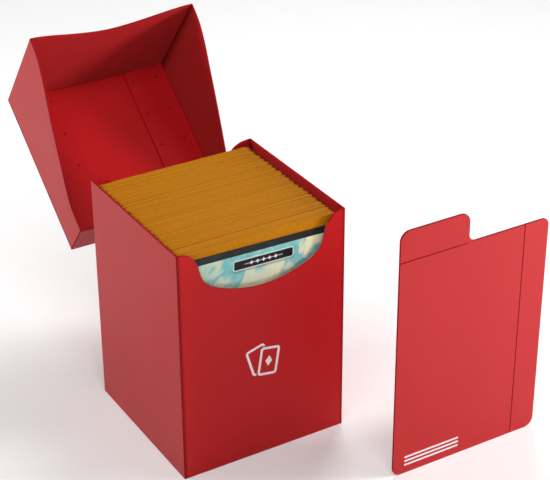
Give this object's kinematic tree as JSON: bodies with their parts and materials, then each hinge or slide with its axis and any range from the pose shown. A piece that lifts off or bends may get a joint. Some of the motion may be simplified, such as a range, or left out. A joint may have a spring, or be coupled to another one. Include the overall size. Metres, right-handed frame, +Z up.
{
  "type": "deck box",
  "caption": "Upright flip-lid deck box of folded plastic sheet, lid open, with a sleeved card deck inside and a loose tabbed divider standing beside it.",
  "frame": {"origin": "middle of the box's footprint, on the surface it stands on", "axes": "+Z up; +X to the right along the front wall; +Y from the front wall, with the finger notch, to the back wall, with the lid's hinge"},
  "size_m": [0.1381, 0.1913, 0.1408],
  "materials": {
    "red_sheet": "satin",
    "white_ink": "satin",
    "sleeves": "matte",
    "sleeve_film": "matte",
    "clear_film": "gloss",
    "printed_card": "satin",
    "name_plate": "satin"
  },
  "bodies": {
    "box": {"front_panel": "red_sheet", "left_side_panel": "red_sheet", "right_side_panel": "red_sheet", "back_flap_left": "red_sheet", "back_flap_right": "red_sheet", "back_panel": "red_sheet", "bottom_panel": "red_sheet", "bottom_flap_left": "red_sheet", "bottom_flap_right": "red_sheet", "bottom_inner_flap": "red_sheet", "emblem_print": "white_ink", "lid_weld_tab": "red_sheet", "hinge_crease_lower": "red_sheet"},
    "hinge_strip": {"hinge_strip": "red_sheet", "hinge_crease_upper": "red_sheet"},
    "lid": {"lid_top_panel": "red_sheet", "lid_front_panel": "red_sheet", "lid_left_side": "red_sheet", "lid_right_side": "red_sheet", "lid_back_panel": "red_sheet", "lid_flap_left": "red_sheet", "lid_flap_right": "red_sheet"},
    "deck": {"sleeved_deck": "sleeves"},
    "front_card": {"front_card": "printed_card", "front_card_sleeve_back": "sleeve_film", "front_card_sleeve_clear": "clear_film", "card_name_plate": "name_plate"},
    "divider": {"divider_panel": "red_sheet", "divider_print": "white_ink"},
    "divider_tab": {"divider_tab": "red_sheet"},
    "divider_side": {"divider_side_strip": "red_sheet"}
  },
  "joints": [
    {"name": "hinge_fold", "type": "hinge", "parent": "box", "child": "hinge_strip", "pos_m": [0, 0.03605, 0.0717], "axis": [-1, 0, 0], "range_deg": [-91.2, 28.8]},
    {"name": "lid_fold", "type": "hinge", "parent": "hinge_strip", "child": "lid", "pos_m": [0, 0.04665, 0.07148], "axis": [-1, 0, 0], "range_deg": [-50.3, 9.7]},
    {"name": "deck_lift", "type": "slide", "parent": "box", "child": "deck", "axis": [0, 0, 1], "range_m": [0, 0.1]},
    {"name": "front_card_lift", "type": "slide", "parent": "box", "child": "front_card", "axis": [0, 0, 1], "range_m": [0, 0.1]},
    {"name": "divider_lift", "type": "slide", "parent": "box", "child": "divider", "axis": [0, 0, 1], "range_m": [0, 0.12]},
    {"name": "divider_tab_fold", "type": "hinge", "parent": "divider", "child": "divider_tab", "pos_m": [0.04845, -0.07534, 0.0949], "axis": [-1, 0, 0], "range_deg": [0, 175]},
    {"name": "divider_side_fold", "type": "hinge", "parent": "divider", "child": "divider_side", "pos_m": [0.08986, -0.07534, 0.0476], "axis": [0, 0, 1], "range_deg": [0, 175]}
  ]
}
